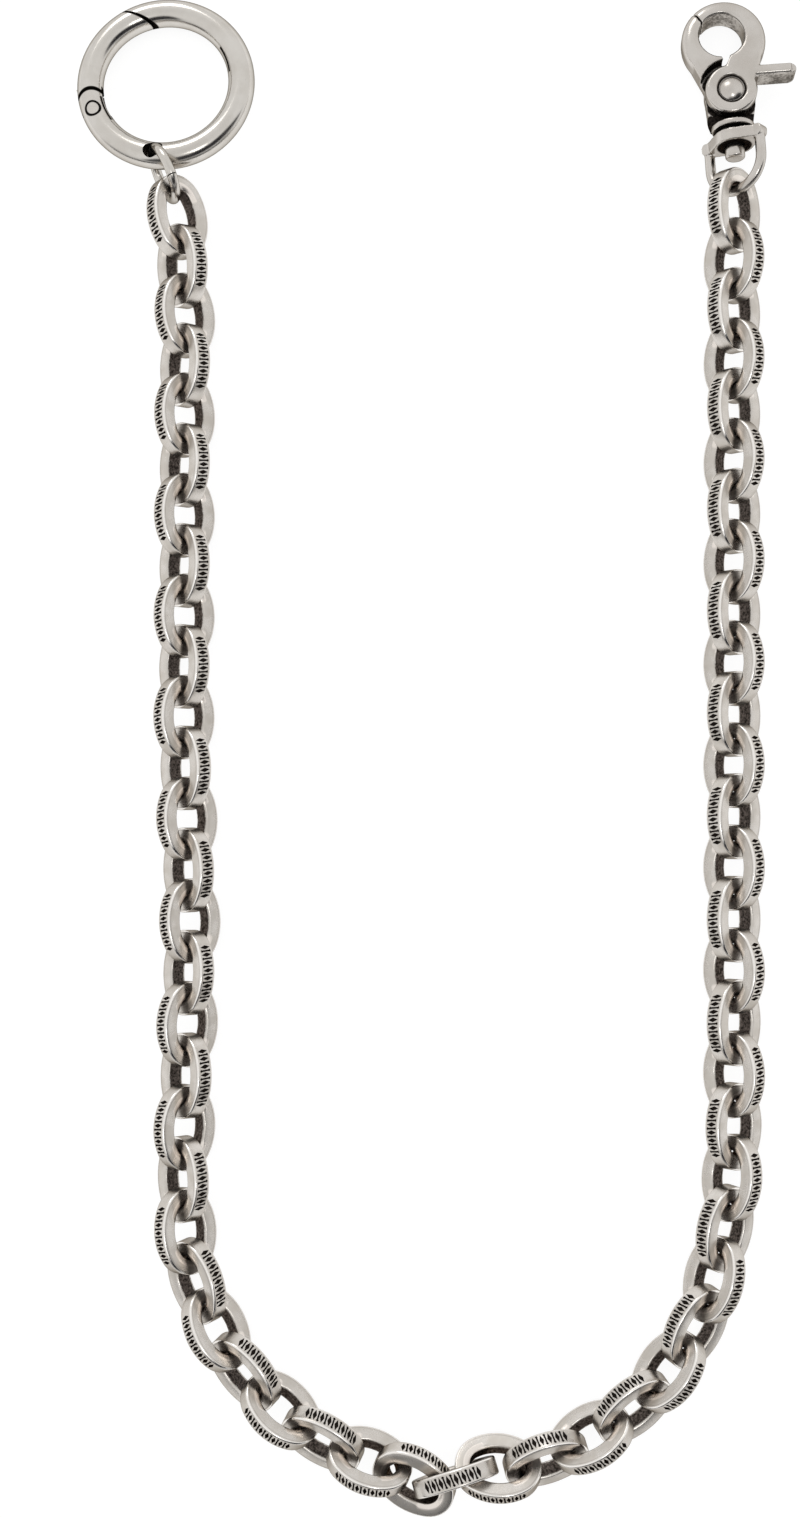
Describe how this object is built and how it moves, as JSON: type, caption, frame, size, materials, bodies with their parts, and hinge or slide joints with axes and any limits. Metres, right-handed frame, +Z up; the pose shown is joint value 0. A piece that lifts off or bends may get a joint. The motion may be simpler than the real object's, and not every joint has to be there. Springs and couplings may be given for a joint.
{
  "type": "trouser chain",
  "caption": "Trouser chain of heavy oval links between a spring-gate ring and a swivel trigger clasp, laid out in a long U.",
  "frame": {"origin": "middle of the footprint, on the surface the chain lies on", "axes": "+Y from the bend of the U towards the ring and the clasp, +X from the ring's strand to the clasp's strand, +Z up from the surface"},
  "size_m": [0.1467, 0.3062, 0.0138],
  "materials": {
    "plated_fitting": "antique silver plate over brass, smooth satin polish",
    "plated_link": "antique silver plate over brass, satin, darkened in the inner faces"
  },
  "bodies": {
    "chain": {"ring": "plated_fitting", "ring_gate_pin": "plated_fitting", "jump_ring": "plated_fitting", "chain_left": "plated_link", "chain_right": "plated_link", "clasp_bail": "plated_fitting"},
    "gate": {"ring_gate": "plated_fitting"},
    "clasp": {"clasp_frame": "plated_fitting", "clasp_rivet": "plated_fitting"},
    "lever": {"clasp_lever": "plated_fitting"}
  },
  "joints": [
    {"name": "gate_hinge", "type": "hinge", "parent": "chain", "child": "gate", "pos_m": [-0.06937, 0.12879, 0.0049], "axis": [0, 0.1011, 0.9949], "range_deg": [-32, 0], "stiffness_Nm_per_rad": 0.05},
    {"name": "clasp_swivel", "type": "hinge", "parent": "chain", "child": "clasp", "pos_m": [0.06024, 0.13032, 0.00466], "axis": [-0.0521, 0.9939, -0.0976], "continuous": true},
    {"name": "lever_hinge", "type": "hinge", "parent": "clasp", "child": "lever", "pos_m": [0.06024, 0.13032, 0.00466], "axis": [-0.0051, 0.0974, 0.9952], "range_deg": [-27, 0], "stiffness_Nm_per_rad": 0.06}
  ]
}
